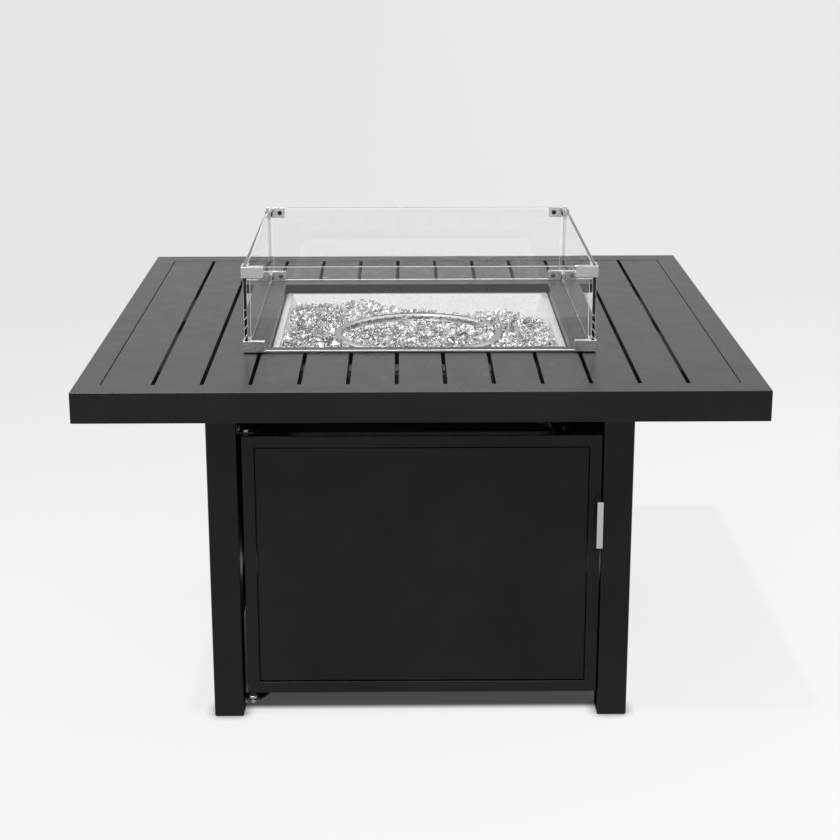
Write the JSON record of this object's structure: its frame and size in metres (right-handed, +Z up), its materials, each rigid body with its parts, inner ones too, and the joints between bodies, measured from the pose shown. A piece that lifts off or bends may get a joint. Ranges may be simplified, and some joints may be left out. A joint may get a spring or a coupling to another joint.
{
  "type": "gas fire table",
  "caption": "Square slatted metal fire table with a ring burner in crushed glass, a lift-off glass wind guard and a cabinet with a hinged door.",
  "frame": {"origin": "on the floor under the centre of the square top", "axes": "+Z up, +X to the right seen from the door side, -Y towards the door"},
  "size_m": [1.067, 1.067, 0.7653],
  "materials": {
    "black_powder_coat": "satin black powder coat on aluminium, fine even texture",
    "clamp_steel": "satin brushed stainless",
    "handle_steel": "satin brushed stainless",
    "zinc_plate": "bright zinc plate",
    "pan_steel": "brushed stainless sheet",
    "ring_steel": "polished stainless",
    "hose_steel": "corrugated stainless hose",
    "bracket_metal": "black painted sheet",
    "guard_glass": "clear tempered glass with polished green edges",
    "fire_glass": "clear crushed fire glass",
    "brass": "plain machined brass",
    "black_plastic": "moulded black plastic",
    "red_plastic": "moulded red plastic",
    "electrode_ceramic": "white ceramic"
  },
  "bodies": {
    "base": {"burner_pan": "pan_steel", "burner_ring": "ring_steel", "control_bracket": "bracket_metal", "deck_support_front": "black_powder_coat", "deck_support_rear": "black_powder_coat", "fire_glass": "fire_glass", "gas_feed_hose": "hose_steel", "gas_valve": "brass", "hinge_bracket_lower": "black_powder_coat", "hinge_bracket_upper": "black_powder_coat", "igniter_housing": "black_plastic", "leg_front_left": "black_powder_coat", "leg_front_right": "black_powder_coat", "leg_rear_left": "black_powder_coat", "leg_rear_right": "black_powder_coat", "magnet_catch": "black_plastic", "opening_collar": "black_powder_coat", "side_panel_left": "black_powder_coat", "side_panel_rear": "black_powder_coat", "side_panel_right": "black_powder_coat", "slat_01": "black_powder_coat", "slat_02": "black_powder_coat", "slat_03": "black_powder_coat", "slat_04_front": "black_powder_coat", "slat_04_rear": "black_powder_coat", "slat_05_front": "black_powder_coat", "slat_05_rear": "black_powder_coat", "slat_06_front": "black_powder_coat", "slat_06_rear": "black_powder_coat", "slat_07_front": "black_powder_coat", "slat_07_rear": "black_powder_coat", "slat_08_front": "black_powder_coat", "slat_08_rear": "black_powder_coat", "slat_09_front": "black_powder_coat", "slat_09_rear": "black_powder_coat", "slat_10_front": "black_powder_coat", "slat_10_rear": "black_powder_coat", "slat_11": "black_powder_coat", "slat_12": "black_powder_coat", "slat_13": "black_powder_coat", "spark_electrode": "electrode_ceramic", "top_frame": "black_powder_coat"},
    "door": {"door_frame": "black_powder_coat", "door_panel": "black_powder_coat", "door_handle": "handle_steel"},
    "wind_guard": {"clamp_lower_front_left": "clamp_steel", "clamp_lower_front_right": "clamp_steel", "clamp_lower_rear_left": "clamp_steel", "clamp_lower_rear_right": "clamp_steel", "clamp_upper_front_left": "clamp_steel", "clamp_upper_front_right": "clamp_steel", "clamp_upper_rear_left": "clamp_steel", "clamp_upper_rear_right": "clamp_steel", "guard_glass_front": "guard_glass", "guard_glass_left": "guard_glass", "guard_glass_rear": "guard_glass", "guard_glass_right": "guard_glass"},
    "stem": {"valve_stem": "zinc_plate"},
    "knob": {"gas_knob": "black_plastic"},
    "button": {"igniter_button": "red_plastic"}
  },
  "joints": [
    {"name": "door_hinge", "type": "hinge", "parent": "base", "child": "door", "pos_m": [-0.284, -0.344, 0.27], "axis": [0, 0, -1], "range_deg": [0, 120]},
    {"name": "wind_guard_lift", "type": "slide", "parent": "base", "child": "wind_guard", "axis": [0, 0, 1], "range_m": [0, 0.25]},
    {"name": "knob_push", "type": "slide", "parent": "base", "child": "stem", "axis": [0, 1, 0], "range_m": [0, 0.003], "stiffness_N_per_m": 800},
    {"name": "knob_turn", "type": "hinge", "parent": "stem", "child": "knob", "pos_m": [0.2435, -0.314, 0.44], "axis": [0, -1, 0], "range_deg": [0, 180]},
    {"name": "igniter_press", "type": "slide", "parent": "base", "child": "button", "axis": [0, 1, 0], "range_m": [0, 0.005], "stiffness_N_per_m": 600}
  ]
}
